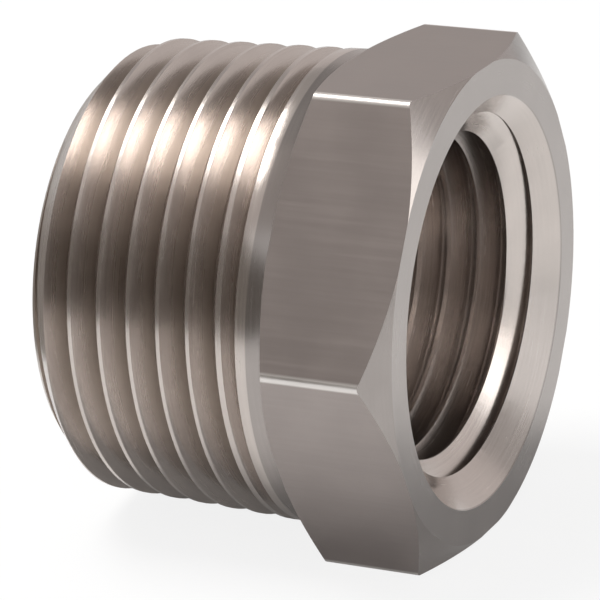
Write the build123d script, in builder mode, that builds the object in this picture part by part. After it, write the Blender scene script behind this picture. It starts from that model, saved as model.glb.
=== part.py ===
from build123d import *
from math import atan, ceil, cos, degrees, radians, tan
import os

# Hex reducing bushing, 3/4 male by 1/2 female taper pipe thread, turned from hexagon bar.
# The common axis of both threads is X. The female mouth opens in the hex face at x = 0 and
# looks toward +X, the male thread points toward -X, and a hex flat faces straight down.
# The male thread is cut in full. The bore is drilled to the female thread's tapping size.

# Driving dimensions (mm)
across_flats = 27.0
hex_length = 7.6
hex_edge_radius = 0.4
front_chamfer_angle = 30.0
front_circle_inset = -0.06
rear_chamfer_angle = 25.0
rear_circle_inset = -0.1

thread_pitch = 25.4 / 14
thread_depth = 0.76 * thread_pitch
thread_taper = 1 / 16
flank_angle = 30.0

male_thread_length = 14.8
male_small_pitch_diameter = 24.579
male_end_chamfer = 1.5
male_start_angle = 250.0
neck_length = 0.9
neck_drop = 0.35

bore_diameter = 18.26
mouth_diameter = 23.2
mouth_chamfer_angle = 45.0

# The thread is cut in stock that runs on past the finished end, which is then faced off
facing_stock = 4 * thread_pitch

# Cones and radii that follow from them
taper_slope = thread_taper / 2
taper_angle = degrees(atan(taper_slope))
small_end_x = -hex_length - male_thread_length
stock_end_x = small_end_x - facing_stock
neck_start_x = -hex_length - neck_length

male_crest_radius = (male_small_pitch_diameter + thread_depth) / 2
bore_radius = bore_diameter / 2
mouth_radius = mouth_diameter / 2
mouth_cone_depth = (mouth_radius - bore_radius) / tan(radians(mouth_chamfer_angle))

# The chamfer cones are turned out to a radius that clears the hexagon's corners
clear_radius = across_flats / 2 / cos(radians(30)) + hex_edge_radius
front_circle_radius = across_flats / 2 - front_circle_inset
rear_circle_radius = across_flats / 2 - rear_circle_inset
front_chamfer_depth = (clear_radius - front_circle_radius) * tan(radians(front_chamfer_angle))
rear_chamfer_depth = (clear_radius - rear_circle_radius) * tan(radians(rear_chamfer_angle))
end_chamfer_depth = clear_radius - male_crest_radius + male_end_chamfer

# The groove is a sharp V, and two turns of it leave a narrow flat crest. Its cutter reaches
# past the crest by a lip, and then goes on straight, so that neighbouring turns of the
# cutter stay clear of each other.
crest_flat = thread_pitch - 2 * thread_depth * tan(radians(flank_angle))
cutter_lip = crest_flat / 2
cutter_overshoot = 0.3
lip_half_width = (thread_depth + cutter_lip) * tan(radians(flank_angle))

# At its blind end the groove fades out over one whole turn
fade_angle = degrees(atan((thread_depth + cutter_overshoot) / thread_pitch))

# Where the groove runs, in whole turns toward +X: it starts beyond the small end and fades
# out before the shoulder
male_fade_x = neck_start_x - thread_pitch
male_turns = ceil((male_fade_x - small_end_x) / thread_pitch + 0.5)
male_groove_x = male_fade_x - male_turns * thread_pitch


def male_crest_at(x):
    """Radius of the male crest cone at x."""
    return male_crest_radius + (x - small_end_x) * taper_slope


def groove_path(x, turns, cone_angle):
    """Right-hand helix about X that starts on the male crest cone at x."""
    height = turns * thread_pitch
    path = Edge.make_helix(thread_pitch, height, male_crest_at(x), (x, 0, 0), (1, 0, 0), cone_angle)
    return path.rotate(Axis.X, male_start_angle)


def groove_plane(path):
    """Sketch plane across the start of a groove's path, with its x away from the axis."""
    start = path @ 0
    return Plane(origin=start, x_dir=(0, start.Y, start.Z), z_dir=path % 0)


male_paths = (
    groove_path(male_groove_x, male_turns, taper_angle),
    groove_path(male_fade_x, 1, fade_angle),
)

with BuildPart() as hex_bushing:
    # Tapered stock with the neck at the shoulder
    with BuildSketch(Plane.XZ):
        with BuildLine():
            Polyline(
                (-hex_length, 0),
                (-hex_length, male_crest_at(neck_start_x) - neck_drop),
                (neck_start_x, male_crest_at(neck_start_x)),
                (stock_end_x, male_crest_at(stock_end_x)),
                (stock_end_x, 0),
                close=True,
            )
        make_face()
    revolve(axis=Axis.X)

    # Male thread
    for path in male_paths:
        with BuildSketch(groove_plane(path)):
            with BuildLine():
                Polyline(
                    (-thread_depth, 0),
                    (cutter_lip, lip_half_width),
                    (cutter_overshoot, lip_half_width),
                    (cutter_overshoot, -lip_half_width),
                    (cutter_lip, -lip_half_width),
                    close=True,
                )
            make_face()
        sweep(path=path, is_frenet=True, mode=Mode.SUBTRACT)

    # Small end faced to length and chamfered at 45 degrees
    with BuildSketch(Plane.XZ):
        with BuildLine():
            Polyline(
                (-hex_length, 0),
                (-hex_length, clear_radius),
                (small_end_x + end_chamfer_depth, clear_radius),
                (small_end_x, male_crest_radius - male_end_chamfer),
                (small_end_x, 0),
                close=True,
            )
        make_face()
    revolve(axis=Axis.X, mode=Mode.INTERSECT)

    # Hexagon head with lightly broken corner edges
    with BuildSketch(Plane.YZ.offset(-hex_length)) as hexagon:
        RegularPolygon(across_flats / 2, 6, major_radius=False)
        fillet(hexagon.vertices(), hex_edge_radius)
    extrude(amount=hex_length)

    # Front and rear chamfers of the hexagon
    with BuildSketch(Plane.XZ):
        with BuildLine():
            Polyline(
                (0, front_circle_radius),
                (-front_chamfer_depth, clear_radius),
                (0, clear_radius),
                close=True,
            )
        make_face()
        with BuildLine():
            Polyline(
                (-hex_length, rear_circle_radius),
                (-hex_length + rear_chamfer_depth, clear_radius),
                (-hex_length, clear_radius),
                close=True,
            )
        make_face()
    revolve(axis=Axis.X, mode=Mode.SUBTRACT)

    # Countersunk mouth and drilled bore
    with BuildSketch(Plane.XZ):
        with BuildLine():
            Polyline(
                (0, 0),
                (0, mouth_radius),
                (-mouth_cone_depth, bore_radius),
                (small_end_x, bore_radius),
                (small_end_x, 0),
                close=True,
            )
        make_face()
    revolve(axis=Axis.X, mode=Mode.SUBTRACT)

hex_bushing.part.label = "hex_bushing"
os.makedirs("parts", exist_ok=True)
export_step(hex_bushing.part, "parts/hex_bushing.step")
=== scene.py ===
"""A machined hex reducing bushing in stainless steel, with its finish and its studio."""

import math

import bmesh
import bpy
from bpy.props import FloatProperty, FloatVectorProperty, PointerProperty
from mathutils import Matrix, Vector


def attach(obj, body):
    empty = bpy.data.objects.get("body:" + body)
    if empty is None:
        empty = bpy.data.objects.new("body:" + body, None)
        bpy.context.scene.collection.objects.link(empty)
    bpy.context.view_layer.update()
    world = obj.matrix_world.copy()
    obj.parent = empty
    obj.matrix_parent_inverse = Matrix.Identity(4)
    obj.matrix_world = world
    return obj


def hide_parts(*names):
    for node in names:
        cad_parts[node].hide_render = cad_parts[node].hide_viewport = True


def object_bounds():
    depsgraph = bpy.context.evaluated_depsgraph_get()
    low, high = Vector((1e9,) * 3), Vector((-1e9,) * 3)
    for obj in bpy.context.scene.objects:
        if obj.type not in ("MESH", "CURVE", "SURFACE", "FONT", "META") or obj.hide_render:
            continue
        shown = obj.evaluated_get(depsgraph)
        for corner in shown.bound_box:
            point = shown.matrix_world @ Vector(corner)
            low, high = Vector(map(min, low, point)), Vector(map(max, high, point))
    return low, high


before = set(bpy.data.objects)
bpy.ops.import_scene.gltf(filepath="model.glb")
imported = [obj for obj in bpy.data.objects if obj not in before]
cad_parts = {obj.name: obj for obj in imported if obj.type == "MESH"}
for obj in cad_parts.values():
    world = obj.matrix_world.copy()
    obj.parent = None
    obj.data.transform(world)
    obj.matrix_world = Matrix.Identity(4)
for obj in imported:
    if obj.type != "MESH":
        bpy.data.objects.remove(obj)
cad_box = [list(corner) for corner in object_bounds()]

bl_info = {
    "name": "Hex bushing",
    "version": (1, 0, 0),
    "blender": (4, 5, 0),
    "location": "View3D > Sidebar > Bushing",
    "description": "Finishes a machined stainless hex bushing and sets up its studio",
    "category": "Object",
}

NODE = "hex_bushing"
FLOOR_HEIGHT = cad_box[0][2]
BODY_LENGTH = cad_box[1][0] - cad_box[0][0]

# The solid's own sizes, in metres, that the finish and the tapped thread follow
HEX_LENGTH = 0.0076
NECK_LENGTH = 0.0009
NECK_START = -HEX_LENGTH - NECK_LENGTH
THREAD_PITCH = 0.0254 / 14
THREAD_DEPTH = 0.76 * THREAD_PITCH
THREAD_TAPER = 1 / 16
CREST_RADIUS = 0.01298
FLANK_ANGLE = math.radians(30)

# The tapping cutter. Its turns run out past the hex face, and the first ones, at the blind end,
# are drawn in towards the axis. Its lip and its back lie inside the thread's crests, by a share
# of the pitch and by a share of the depth.
CUTTER_OVERRUN = 0.002
CUTTER_STEPS_A_TURN = 96
CUTTER_FADE_TURNS = 1.5
CUTTER_LIP = 0.06
CUTTER_BACK = 0.7

# How a mesh is cleaned and shaded, and the most of the drilled solid's volume that can be left
# once the thread is cut
MERGE_DISTANCE = 1e-6
DEGENERATE_LENGTH = 1e-7
SHARP_ANGLE = math.radians(28)
TAPPED_VOLUME = 0.99

# Both ends of each soft change from one finish to the next: how far a normal leans along the
# axis, radii about the axis, places along it, and depths below the male thread's crests
FLAT_LEAN = (0.02, 0.12)
FLAT_RADII = (0.01325, 0.01345)
CORNER_RADII = (0.01540, 0.01549)
RIM_RADII = (0.01150, 0.01158)
SHOULDER_PLACES = (-HEX_LENGTH - 0.0001, -HEX_LENGTH + 0.0001)
NECK_PLACES = (NECK_START - 0.0001, NECK_START)
ROOT_DEPTHS = (0.0003, 0.0012)

# How many marks there are in a metre, and round the axis in a radian
TURNED_MARKS, TURNED_ARCS = 9000, 0.6
RING_MARKS, RING_ARCS = 2500, 0.2
DRAWN_LENGTHWISE, DRAWN_ACROSS = 120, 4000
SCUFFS_LENGTHWISE, SCUFFS_ACROSS = 900, 700
CLOUDS = 260.0

# How much the marks change the steel's tone, roughness and height
ROOT_SHADE = 0.6
WORN_CLOUDS, WORN_MARKS = 0.6, 0.4
WORN_ENDS = (0.3, 0.75)
DULLEST_TONE, WORN_TONE = 0.92, 0.14
MARK_ROUGHNESS, CLOUD_ROUGHNESS, ROOT_ROUGHNESS = 0.16, 0.12, 0.08
MARK_HEIGHT, RING_HEIGHT, SCUFF_HEIGHT = 0.6, 0.5, 0.35

# The studio, about the middle of the bushing. The floor's two shares say how white it shows to
# the camera and in the metal. The arch is a row of cards over the bushing.
MIDDLE = Vector((-0.0111, 0, 0))
FLOOR_RADIUS = 3.0
FLOOR_WHITE, FLOOR_MIRRORED = 0.85, 0.1
SURROUND_STRENGTH = 0.5
SOFTBOX_COLOUR = (1.0, 0.98, 0.95)
FILL_COLOUR = (1.0, 0.99, 0.98)
SIDE_COLOUR = (1.0, 0.97, 0.94)
LEFT_CARD_PLACE = Vector((-0.175, 0.06, FLOOR_HEIGHT + 0.0005))
ARCH_RADIUS, ARCH_WIDTH = 0.56, 1.6

# The lens, in a frame of 600 pixels: its focal length, the pixels in a metre at the bushing,
# and how far the bushing's middle stands right of the frame's middle and above it
FRAME_PIXELS = 600
SENSOR_WIDTH = 36.0
FOCAL_PIXELS = 3782
PIXELS_A_METRE = 17660
PIXELS_RIGHT, PIXELS_ABOVE = 5.2, 18.5
CLIP_START, CLIP_END = 0.01, 20.0


class Value:
    """A number socket that adds Math nodes as Python works on it."""

    def __init__(self, shader, socket):
        self.shader = shader
        self.socket = socket

    def maths(self, operation, *others):
        """This value put through a Math node, with the other terms after it."""
        terms = dict(enumerate((self, *others)))
        return self.shader.value("ShaderNodeMath", {"operation": operation}, terms)

    def __add__(self, other):
        return self.maths("ADD", other)

    def __sub__(self, other):
        return self.maths("SUBTRACT", other)

    def __mul__(self, other):
        return self.maths("MULTIPLY", other)

    def __radd__(self, other):
        return self + other

    def __rmul__(self, other):
        return self * other

    def __rsub__(self, other):
        return self.shader.value("ShaderNodeMath", {"operation": "SUBTRACT"}, {0: other, 1: self})

    def step(self, low, high):
        """0 below low and 1 above high, with a soft rise between."""
        settings = {"interpolation_type": "SMOOTHSTEP", "clamp": True}
        ends = {"Value": self, "From Min": low, "From Max": high}
        return self.shader.value("ShaderNodeMapRange", settings, ends)


class Shader:
    """Adds nodes to a material's or a world's tree."""

    def __init__(self, tree):
        self.tree = tree
        tree.nodes.clear()

    def node(self, kind, settings=None, inputs=None):
        """A new node with its settings, then its sockets' values or links."""
        made = self.tree.nodes.new(kind)
        for name, setting in (settings or {}).items():
            setattr(made, name, setting)
        for name, term in (inputs or {}).items():
            socket = made.inputs[name]
            if isinstance(term, Value):
                term = term.socket
            if isinstance(term, bpy.types.NodeSocket):
                self.tree.links.new(term, socket)
            else:
                socket.default_value = term
        return made

    def value(self, kind, settings=None, inputs=None):
        """A new node's first output, as a value."""
        return Value(self, self.node(kind, settings, inputs).outputs[0])

    def axes(self, vector):
        """The x, y and z of a vector, as values."""
        split = self.node("ShaderNodeSeparateXYZ", None, {"Vector": vector})
        return [Value(self, split.outputs[axis]) for axis in "XYZ"]

    def vector(self, x, y, z):
        """A vector from three values."""
        return self.value("ShaderNodeCombineXYZ", None, {"X": x, "Y": y, "Z": z})

    def noise(self, vector, scale, detail, roughness):
        """Noise from 0 to 1, about 0.5 on average."""
        inputs = {"Vector": vector, "Scale": scale, "Detail": detail, "Roughness": roughness}
        return self.value("ShaderNodeTexNoise", {"noise_dimensions": "3D"}, inputs)

    def blend(self, factor, first, second):
        """A colour mixed from two colours."""
        settings = {"data_type": "RGBA", "blend_type": "MIX"}
        inputs = {0: factor, 6: first, 7: second}
        return self.node("ShaderNodeMix", settings, inputs).outputs[2]

    def tinted(self, first, strength):
        """A colour made darker or lighter all over by a number."""
        inputs = {0: first, "Scale": strength}
        return self.node("ShaderNodeVectorMath", {"operation": "SCALE"}, inputs).outputs[0]


def colour(rgb):
    """A colour for a socket, which also holds alpha."""
    return (rgb[0], rgb[1], rgb[2], 1.0)


class BushingFinish(bpy.types.PropertyGroup):
    """Colours and roughness of the machined steel; some of the colours hold painted light and painted
    shade
    """

    faced_steel: FloatVectorProperty(
        name="Faced steel", description="Colour of the hex face, the chamfers and the neck",
        subtype="COLOR", size=3, min=0.0, max=1.0, default=(0.365, 0.335, 0.32))
    drawn_steel: FloatVectorProperty(
        name="Drawn steel", description="Colour of the hexagon's drawn flats",
        subtype="COLOR", size=3, min=0.0, max=1.0, default=(0.365, 0.325, 0.31))
    # A painted highlight: a far lighter steel on the hexagon's rounded corner edges
    corner_painted_highlight: FloatVectorProperty(
        name="Painted corner highlight", description="Colour of the hexagon's corner edges, a painted highlight",
        subtype="COLOR", size=3, min=0.0, max=1.0, default=(0.72, 0.69, 0.67))
    # Lightened with painted light, against the shade between the thread's turns
    thread_steel_painted_light: FloatVectorProperty(
        name="Thread steel", description="Colour of the male thread's crests and flanks",
        subtype="COLOR", size=3, min=0.0, max=1.0, default=(0.55, 0.50, 0.47))
    # Painted shade in the bottom of the male thread
    root_painted_shade: FloatVectorProperty(
        name="Thread roots", description="Colour of the steel at the bottom of the male thread",
        subtype="COLOR", size=3, min=0.0, max=1.0, default=(0.42, 0.37, 0.33))
    # Lightened with painted light inside the mouth and the bore
    bore_steel_painted_light: FloatVectorProperty(
        name="Bore steel", description="Colour of the mouth and the tapped bore",
        subtype="COLOR", size=3, min=0.0, max=1.0, default=(0.58, 0.53, 0.50))
    flat_roughness: FloatProperty(
        name="Flat roughness", description="Roughness of the drawn hexagon flats",
        default=0.42, min=0.0, max=1.0)
    turned_roughness: FloatProperty(
        name="Turned roughness", description="Roughness of the turned faces and threads",
        default=0.24, min=0.0, max=1.0)
    bump_strength: FloatProperty(
        name="Mark strength", description="How strongly the machining marks catch the light",
        default=0.25, min=0.0, max=1.0)
    bump_depth: FloatProperty(
        name="Mark depth", description="Depth of the machining marks",
        default=0.00002, min=0.0, subtype="DISTANCE", unit="LENGTH")


class TappedThread(bpy.types.PropertyGroup):
    """Sizes of the female taper thread"""

    pitch: FloatProperty(
        name="Pitch", description="Distance from one thread to the next",
        default=THREAD_PITCH, subtype="DISTANCE", unit="LENGTH")
    depth: FloatProperty(
        name="Depth", description="From the thread's crest to its root",
        default=THREAD_DEPTH, subtype="DISTANCE", unit="LENGTH")
    taper: FloatProperty(
        name="Taper", description="Change of diameter over a length along the bore",
        default=THREAD_TAPER, min=0.0, max=0.5)
    mouth_pitch_diameter: FloatProperty(
        name="Pitch diameter", description="Pitch diameter in the plane of the hex face",
        default=0.019772, subtype="DISTANCE", unit="LENGTH")
    bore_depth: FloatProperty(
        name="Threaded depth", description="How far the thread reaches in from the hex face",
        default=0.0155, subtype="DISTANCE", unit="LENGTH")
    start_angle: FloatProperty(
        name="Start angle", description="Turn of the thread about the bore",
        default=math.radians(100.0), subtype="ANGLE", unit="ROTATION")


class StudioSizes(bpy.types.PropertyGroup):
    """Where the camera stands, the floor and the power of the lamps"""

    camera_distance: FloatProperty(
        name="Camera distance", description="From the camera to the middle of the bushing",
        default=0.214, subtype="DISTANCE", unit="LENGTH")
    camera_azimuth: FloatProperty(
        name="Camera azimuth", description="Turn of the camera about the upright axis",
        default=math.radians(24.83), subtype="ANGLE", unit="ROTATION")
    camera_elevation: FloatProperty(
        name="Camera elevation", description="Height of the camera over the floor, as an angle",
        default=math.radians(18.32), subtype="ANGLE", unit="ROTATION")
    camera_roll: FloatProperty(
        name="Camera roll", description="Turn of the camera about its own line of sight",
        default=math.radians(-1.6), subtype="ANGLE", unit="ROTATION")
    floor_colour: FloatVectorProperty(
        name="Floor", description="Colour of the plain floor",
        subtype="COLOR", size=3, min=0.0, max=1.0, default=(0.85, 0.85, 0.85))
    softbox_power: FloatProperty(
        name="Softbox power", description="Power of the overhead softbox",
        default=0.95, min=0.0, subtype="POWER", unit="POWER")
    fill_power: FloatProperty(
        name="Fill power", description="Power of the lamp over the floor, which metal doesn't mirror",
        default=1.45, min=0.0, subtype="POWER", unit="POWER")
    side_power: FloatProperty(
        name="Side power", description="Power of the softbox on the right",
        default=0.22, min=0.0, subtype="POWER", unit="POWER")


def machined_steel(finish):
    """Turned marks round the axis, drawn lines along the flats, painted shade in the thread roots, a
    painted highlight on the hexagon's corners, and painted light that lightens the threads and the
    bore.
    """
    material = bpy.data.materials.new("machined_stainless")
    material.use_nodes = True
    shader = Shader(material.node_tree)
    place = shader.node("ShaderNodeTexCoord").outputs["Object"]
    x, y, z = shader.axes(place)
    radius = (y * y + z * z).maths("POWER", 0.5)
    turn = z.maths("ARCTAN2", y)
    normal = shader.node("ShaderNodeNewGeometry").outputs["Normal"]
    lean = shader.axes(normal)[0].maths("ABSOLUTE")

    # Where each finish lies
    hexagon = (1 - lean.step(*FLAT_LEAN)) * radius.step(*FLAT_RADII)
    flats = hexagon * x.step(*SHOULDER_PLACES)
    corners = flats * radius.step(*CORNER_RADII)
    outside = radius.step(*RIM_RADII)
    threaded = outside * (1 - x.step(*NECK_PLACES))
    crest = CREST_RADIUS + (x + BODY_LENGTH) * (THREAD_TAPER / 2)
    sunk = (crest - radius).step(*ROOT_DEPTHS) * threaded

    # The marks of the tools. The fine turned ones follow the helix of the threads.
    helix = x - turn * (THREAD_PITCH / (2 * math.pi))
    turned = shader.noise(
        shader.vector(helix * TURNED_MARKS, radius * TURNED_MARKS, turn * TURNED_ARCS), 1.0, 3.0, 0.6)
    rings = shader.noise(
        shader.vector(x * RING_MARKS, radius * RING_MARKS, turn * RING_ARCS), 1.0, 2.0, 0.5)
    drawn = shader.noise(
        shader.vector(x * DRAWN_LENGTHWISE, y * DRAWN_ACROSS, z * DRAWN_ACROSS), 1.0, 3.0, 0.6)
    scuffs = shader.noise(
        shader.vector(x * SCUFFS_LENGTHWISE, y * SCUFFS_ACROSS, z * SCUFFS_ACROSS), 1.0, 4.0, 0.65)
    clouds = shader.noise(place, CLOUDS, 3.0, 0.5)
    marks = turned * (1 - flats) + drawn * flats

    # Tone, roughness and height; the tone holds painted light and painted shade
    # The mouth and the bore get their steel lightened with painted light
    tone = shader.blend(outside, colour(finish.bore_steel_painted_light), colour(finish.faced_steel))
    tone = shader.blend(flats, tone, colour(finish.drawn_steel))
    # A painted highlight on the hexagon's corner edges
    tone = shader.blend(corners, tone, colour(finish.corner_painted_highlight))
    # The male thread's steel, lightened with painted light
    tone = shader.blend(threaded, tone, colour(finish.thread_steel_painted_light))
    # Painted shade in the thread roots
    tone = shader.blend(sunk * ROOT_SHADE, tone, colour(finish.root_painted_shade))
    worn = (clouds * WORN_CLOUDS + marks * WORN_MARKS).step(*WORN_ENDS)
    tone = shader.tinted(tone, DULLEST_TONE + worn * WORN_TONE)
    rough = (finish.turned_roughness + (finish.flat_roughness - finish.turned_roughness) * flats
             + (marks - 0.5) * MARK_ROUGHNESS + (clouds - 0.5) * CLOUD_ROUGHNESS
             + sunk * ROOT_ROUGHNESS)
    height = marks * MARK_HEIGHT + rings * RING_HEIGHT * (1 - flats) + scuffs * SCUFF_HEIGHT
    bump = shader.node("ShaderNodeBump", None, {
        "Strength": finish.bump_strength, "Distance": finish.bump_depth, "Height": height})
    surface = shader.node("ShaderNodeBsdfPrincipled", None, {
        "Base Color": tone, "Metallic": 1.0, "Roughness": rough, "Normal": bump.outputs[0]})
    shader.node("ShaderNodeOutputMaterial", None, {"Surface": surface.outputs[0]})
    return material


def helical_cutter(threads):
    """The tapping cut as one closed solid: a V swept along the helix, fading out at its blind end."""
    pitch, depth = threads.pitch, threads.depth
    start = -threads.bore_depth
    turns = math.ceil((CUTTER_OVERRUN - start) / pitch)
    steps = CUTTER_STEPS_A_TURN * turns
    flank = math.tan(FLANK_ANGLE)

    # The profile, with its root outermost and its back inside the drilled bore
    crest = threads.mouth_pitch_diameter / 2 - depth / 2
    root = crest + depth
    lip = crest - CUTTER_LIP * pitch
    back = crest - CUTTER_BACK * depth
    root_width = (pitch / 2 - depth * flank) / 2
    lip_width = root_width + (depth + CUTTER_LIP * pitch) * flank
    profile = (
        (root, -root_width), (root, root_width), (lip, lip_width),
        (back, lip_width), (back, -lip_width), (lip, -lip_width),
    )
    shape = bmesh.new()
    corners = [shape.verts.new((start + along, out, 0.0)) for out, along in profile]
    section = shape.faces.new(corners)
    bmesh.ops.rotate(
        shape, cent=(0, 0, 0), matrix=Matrix.Rotation(threads.start_angle, 3, "X"), verts=corners)
    bmesh.ops.spin(
        shape, geom=[section], cent=(0, 0, 0), axis=(1, 0, 0), dvec=(turns * pitch / steps, 0, 0),
        angle=2 * math.pi * turns, steps=steps)

    # Taper the turns, and draw the first ones in to fade the groove out
    for corner in shape.verts:
        x, y, z = corner.co
        radius = math.hypot(y, z)
        fade = min(max((x - start) / (CUTTER_FADE_TURNS * pitch), 0.0), 1.0)
        grown = radius + x * threads.taper / 2 - (1 - fade) * depth
        corner.co.y *= grown / radius
        corner.co.z *= grown / radius
    bmesh.ops.recalc_face_normals(shape, faces=shape.faces)
    mesh = bpy.data.meshes.new("tapping_cut")
    shape.to_mesh(mesh)
    shape.free()
    return bpy.data.objects.new("tapping_cut", mesh)


def taken_away(piece, cutter):
    """The piece's mesh with the cutter's shape cut out of it."""
    collection = bpy.context.scene.collection
    collection.objects.link(cutter)
    cut = piece.modifiers.new("cut", "BOOLEAN")
    cut.operation = "DIFFERENCE"
    cut.solver = "EXACT"
    cut.object = cutter
    bpy.context.view_layer.update()
    evaluated = piece.evaluated_get(bpy.context.evaluated_depsgraph_get())
    mesh = bpy.data.meshes.new_from_object(evaluated)
    piece.modifiers.remove(cut)
    bpy.data.objects.remove(cutter)
    return mesh


def merged_shape(mesh):
    """A shape made from a mesh, with points that lie in one place made one."""
    shape = bmesh.new()
    shape.from_mesh(mesh)
    bmesh.ops.remove_doubles(shape, verts=shape.verts, dist=MERGE_DISTANCE)
    return shape


class BUSHING_OT_body(bpy.types.Operator):
    """Model the bushing with its tapped bore and give it its machined stainless finish"""

    bl_idname = "bushing.body"
    bl_label = "Model the bushing"

    def execute(self, context):
        shape = merged_shape(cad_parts[NODE].data)
        drilled_volume = shape.calc_volume()
        mesh = bpy.data.meshes.new("tapped_bushing")
        shape.to_mesh(mesh)
        shape.free()
        mesh.materials.clear()
        piece = bpy.data.objects.new("tapped_bushing", mesh)
        context.scene.collection.objects.link(piece)
        piece.data = taken_away(piece, helical_cutter(context.scene.bushing_thread))

        shape = merged_shape(piece.data)
        bmesh.ops.dissolve_degenerate(shape, edges=shape.edges, dist=DEGENERATE_LENGTH)
        if not 0 < shape.calc_volume() < drilled_volume * TAPPED_VOLUME:
            raise RuntimeError("the tapping cut made no thread in the bore")
        for face in shape.faces:
            face.smooth = True
        for edge in shape.edges:
            edge.smooth = len(edge.link_faces) == 2 and edge.calc_face_angle(0.0) < SHARP_ANGLE
        shape.to_mesh(piece.data)
        shape.free()
        piece.data.name = "tapped_bushing"
        shading = piece.modifiers.new("even_shading", "WEIGHTED_NORMAL")
        shading.keep_sharp = True
        shading.weight = 100
        piece.data.materials.clear()
        piece.data.materials.append(machined_steel(context.scene.bushing_finish))
        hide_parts(NODE)
        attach(piece, "root")
        return {"FINISHED"}


def seen_directly(shader, from_camera=1.0, by_reflection=1.0):
    """How much rays from the camera, and rays by way of metal or glass, show the white background."""
    path = shader.node("ShaderNodeLightPath")
    camera, glossy, through = (Value(shader, path.outputs[name]) for name in (
        "Is Camera Ray", "Is Glossy Ray", "Is Transmission Ray"))
    return (camera * from_camera).maths("MAXIMUM", glossy.maths("MAXIMUM", through) * by_reflection)


def floor_material(rgb):
    """A matt floor that takes the shadow, most of the way to white where it is seen directly."""
    material = bpy.data.materials.new("pale_floor")
    material.use_nodes = True
    shader = Shader(material.node_tree)
    matt = shader.node("ShaderNodeBsdfDiffuse", None, {"Color": colour(rgb)})
    white = shader.node("ShaderNodeEmission", None, {"Color": (1, 1, 1, 1), "Strength": 1.0})
    both = shader.node("ShaderNodeMixShader", None, {
        0: seen_directly(shader, FLOOR_WHITE, FLOOR_MIRRORED), 1: matt.outputs[0], 2: white.outputs[0]})
    shader.node("ShaderNodeOutputMaterial", None, {"Surface": both.outputs[0]})
    return material


def white_world():
    """A soft even surround that is white where it is seen directly."""
    world = bpy.data.worlds.new("white_surround")
    world.use_nodes = True
    shader = Shader(world.node_tree)
    dim = shader.node("ShaderNodeBackground", None, {
        "Color": (1, 1, 1, 1), "Strength": SURROUND_STRENGTH})
    white = shader.node("ShaderNodeBackground", None, {"Color": (1, 1, 1, 1), "Strength": 1.0})
    both = shader.node("ShaderNodeMixShader", None, {
        0: seen_directly(shader), 1: dim.outputs[0], 2: white.outputs[0]})
    shader.node("ShaderNodeOutputWorld", None, {"Surface": both.outputs[0]})
    return world


def facing_matrix(place, target, roll=0.0):
    """A frame at place whose -Z looks at target, rolled about that line."""
    back = (Vector(place) - Vector(target)).normalized()
    right = Vector((0, 0, 1)).cross(back)
    if right.length < 1e-6:
        right = Vector((1, 0, 0))
    right.normalize()
    up = back.cross(right)
    turned_right = right * math.cos(roll) + up * math.sin(roll)
    turned_up = up * math.cos(roll) - right * math.sin(roll)
    return Matrix.Translation(place) @ Matrix((turned_right, turned_up, back)).transposed().to_4x4()


def studio_floor(rgb):
    """A wide round floor that the bushing rests on."""
    shape = bmesh.new()
    bmesh.ops.create_circle(shape, cap_ends=True, segments=96, radius=FLOOR_RADIUS)
    bmesh.ops.translate(shape, vec=(0, 0, FLOOR_HEIGHT), verts=shape.verts)
    mesh = bpy.data.meshes.new("floor")
    shape.to_mesh(mesh)
    shape.free()
    mesh.materials.append(floor_material(rgb))
    floor = bpy.data.objects.new("floor", mesh)
    bpy.context.scene.collection.objects.link(floor)


def sheet_card(name, size, place, target, rgb):
    """A plain studio card, seen only in the metal's reflections."""
    shape = bmesh.new()
    bmesh.ops.create_grid(shape, x_segments=1, y_segments=1, size=0.5)
    bmesh.ops.scale(shape, vec=(*size, 1), verts=shape.verts)
    bmesh.ops.transform(shape, matrix=facing_matrix(place, target), verts=shape.verts)
    mesh = bpy.data.meshes.new(name)
    shape.to_mesh(mesh)
    shape.free()
    card = bpy.data.objects.new(name, mesh)
    material = bpy.data.materials.new(name)
    material.use_nodes = True
    shader = Shader(material.node_tree)
    glow = shader.node("ShaderNodeEmission", None, {"Color": colour(rgb), "Strength": 1.0})
    shader.node("ShaderNodeOutputMaterial", None, {"Surface": glow.outputs[0]})
    mesh.materials.append(material)
    bpy.context.scene.collection.objects.link(card)
    card.visible_camera = False
    card.visible_diffuse = False
    card.visible_shadow = False


def area_light(name, offset, size, power, rgb, mirrored=True):
    """A lamp that faces the middle of the bushing, and that the metal mirrors or not."""
    lamp = bpy.data.lights.new(name, "AREA")
    lamp.shape = "RECTANGLE"
    lamp.size, lamp.size_y = size
    lamp.energy = power
    lamp.color = rgb
    holder = bpy.data.objects.new(name, lamp)
    holder.matrix_world = facing_matrix(MIDDLE + Vector(offset), MIDDLE)
    holder.visible_glossy = mirrored
    bpy.context.scene.collection.objects.link(holder)


def studio_camera(sizes):
    """A camera at its angle and distance, aimed so that the bushing sits where it should."""
    azimuth, elevation = sizes.camera_azimuth, sizes.camera_elevation
    back = Vector((math.sin(azimuth) * math.cos(elevation),
                   -math.cos(azimuth) * math.cos(elevation), math.sin(elevation)))
    place = MIDDLE + back * sizes.camera_distance
    straight = facing_matrix(place, MIDDLE, sizes.camera_roll)
    right, up = straight.col[0].to_3d(), straight.col[1].to_3d()
    aim = MIDDLE - right * (PIXELS_RIGHT / PIXELS_A_METRE) - up * (PIXELS_ABOVE / PIXELS_A_METRE)
    lens = bpy.data.cameras.new("camera")
    lens.sensor_width = SENSOR_WIDTH
    lens.lens = FOCAL_PIXELS / FRAME_PIXELS * SENSOR_WIDTH
    lens.clip_start = CLIP_START
    lens.clip_end = CLIP_END
    camera = bpy.data.objects.new("camera", lens)
    camera.matrix_world = facing_matrix(place, aim, sizes.camera_roll)
    bpy.context.scene.collection.objects.link(camera)
    return camera


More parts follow.
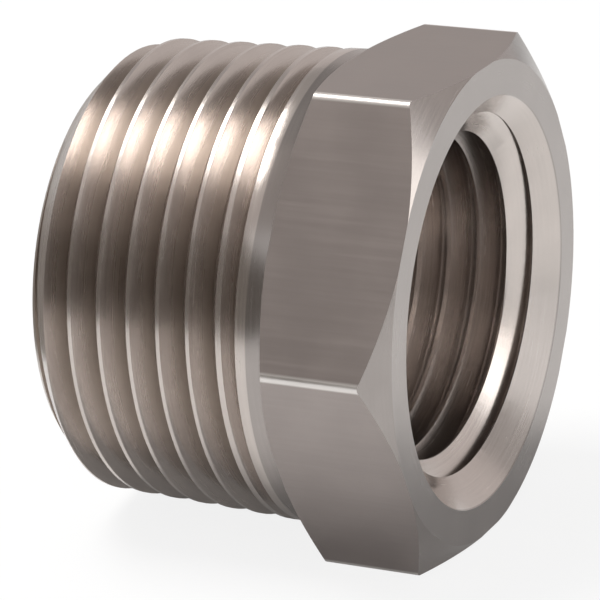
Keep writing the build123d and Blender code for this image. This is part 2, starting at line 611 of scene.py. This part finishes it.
class BUSHING_OT_studio(bpy.types.Operator):
    """Set up the floor, the cards, the lights, the world and the camera"""

    bl_idname = "bushing.studio"
    bl_label = "Set up the studio"

    def execute(self, context):
        scene = context.scene
        sizes = scene.bushing_studio
        scene.view_settings.view_transform = "Standard"
        studio_floor(sizes.floor_colour)
        scene.world = white_world()

        area_light("overhead_softbox", (-0.20, -0.035, 0.46), (0.30, 0.09),
                   sizes.softbox_power, SOFTBOX_COLOUR)
        area_light("overhead_fill", (-0.20, -0.035, 0.47), (0.30, 0.20),
                   sizes.fill_power, FILL_COLOUR, mirrored=False)
        area_light("right_softbox", (0.45, 0.13, 0.085), (0.18, 0.18),
                   sizes.side_power, SIDE_COLOUR)

        # Cards in front, on the right, and flat on the floor on the left
        sheet_card("front_flag", (0.9, 0.485), MIDDLE + Vector((-0.111, -0.240, 0.145)),
                   MIDDLE + Vector((0.159, 0.343, 0.911)), (0.20, 0.182, 0.165))
        sheet_card("right_flag", (0.36, 0.15), MIDDLE + Vector((0.56, 0.06, 0.015)),
                   MIDDLE, (0.20, 0.18, 0.165))
        sheet_card("left_card", (0.26, 0.20), LEFT_CARD_PLACE,
                   LEFT_CARD_PLACE + Vector((0, 0, 1)), (0.30, 0.275, 0.255))

        # The arch, each card from one angle to another about the axis, in degrees up from the
        # floor behind the bushing
        for name, low, high, rgb in (
            ("back_card", 1, 38, (0.74, 0.69, 0.67)),
            ("upper_back_card", 38, 95, (0.43, 0.41, 0.40)),
            ("upper_front_card", 95, 140, (0.58, 0.54, 0.52)),
        ):
            middle, spread = math.radians((low + high) / 2), math.radians((high - low) / 2)
            place = MIDDLE + ARCH_RADIUS * Vector((0, math.cos(middle), math.sin(middle)))
            sheet_card(name, (ARCH_WIDTH, 2 * ARCH_RADIUS * math.tan(spread)), place, MIDDLE, rgb)

        scene.camera = studio_camera(sizes)
        return {"FINISHED"}


class BUSHING_PT_panel(bpy.types.Panel):
    """Lists the bushing's operators with their settings"""

    bl_label = "Hex bushing"
    bl_idname = "BUSHING_PT_panel"
    bl_space_type = "VIEW_3D"
    bl_region_type = "UI"
    bl_category = "Bushing"

    def draw(self, context):
        scene = context.scene
        for operator, groups in (
            (BUSHING_OT_body, (scene.bushing_thread, scene.bushing_finish)),
            (BUSHING_OT_studio, (scene.bushing_studio,)),
        ):
            box = self.layout.box()
            for settings in groups:
                for name in settings.__annotations__:
                    box.prop(settings, name)
            box.operator(operator.bl_idname)


CLASSES = (
    BushingFinish, TappedThread, StudioSizes, BUSHING_OT_body, BUSHING_OT_studio, BUSHING_PT_panel)


def register():
    """Add the bushing's settings, operators and panel."""
    for made in CLASSES:
        bpy.utils.register_class(made)
    bpy.types.Scene.bushing_finish = PointerProperty(type=BushingFinish)
    bpy.types.Scene.bushing_thread = PointerProperty(type=TappedThread)
    bpy.types.Scene.bushing_studio = PointerProperty(type=StudioSizes)


def unregister():
    """Take them out again."""
    del bpy.types.Scene.bushing_studio
    del bpy.types.Scene.bushing_thread
    del bpy.types.Scene.bushing_finish
    for made in reversed(CLASSES):
        bpy.utils.unregister_class(made)


def main():
    """Model the bushing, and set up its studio."""
    register()
    bpy.ops.bushing.body()
    bpy.ops.bushing.studio()


if __name__ == "__main__":
    main()
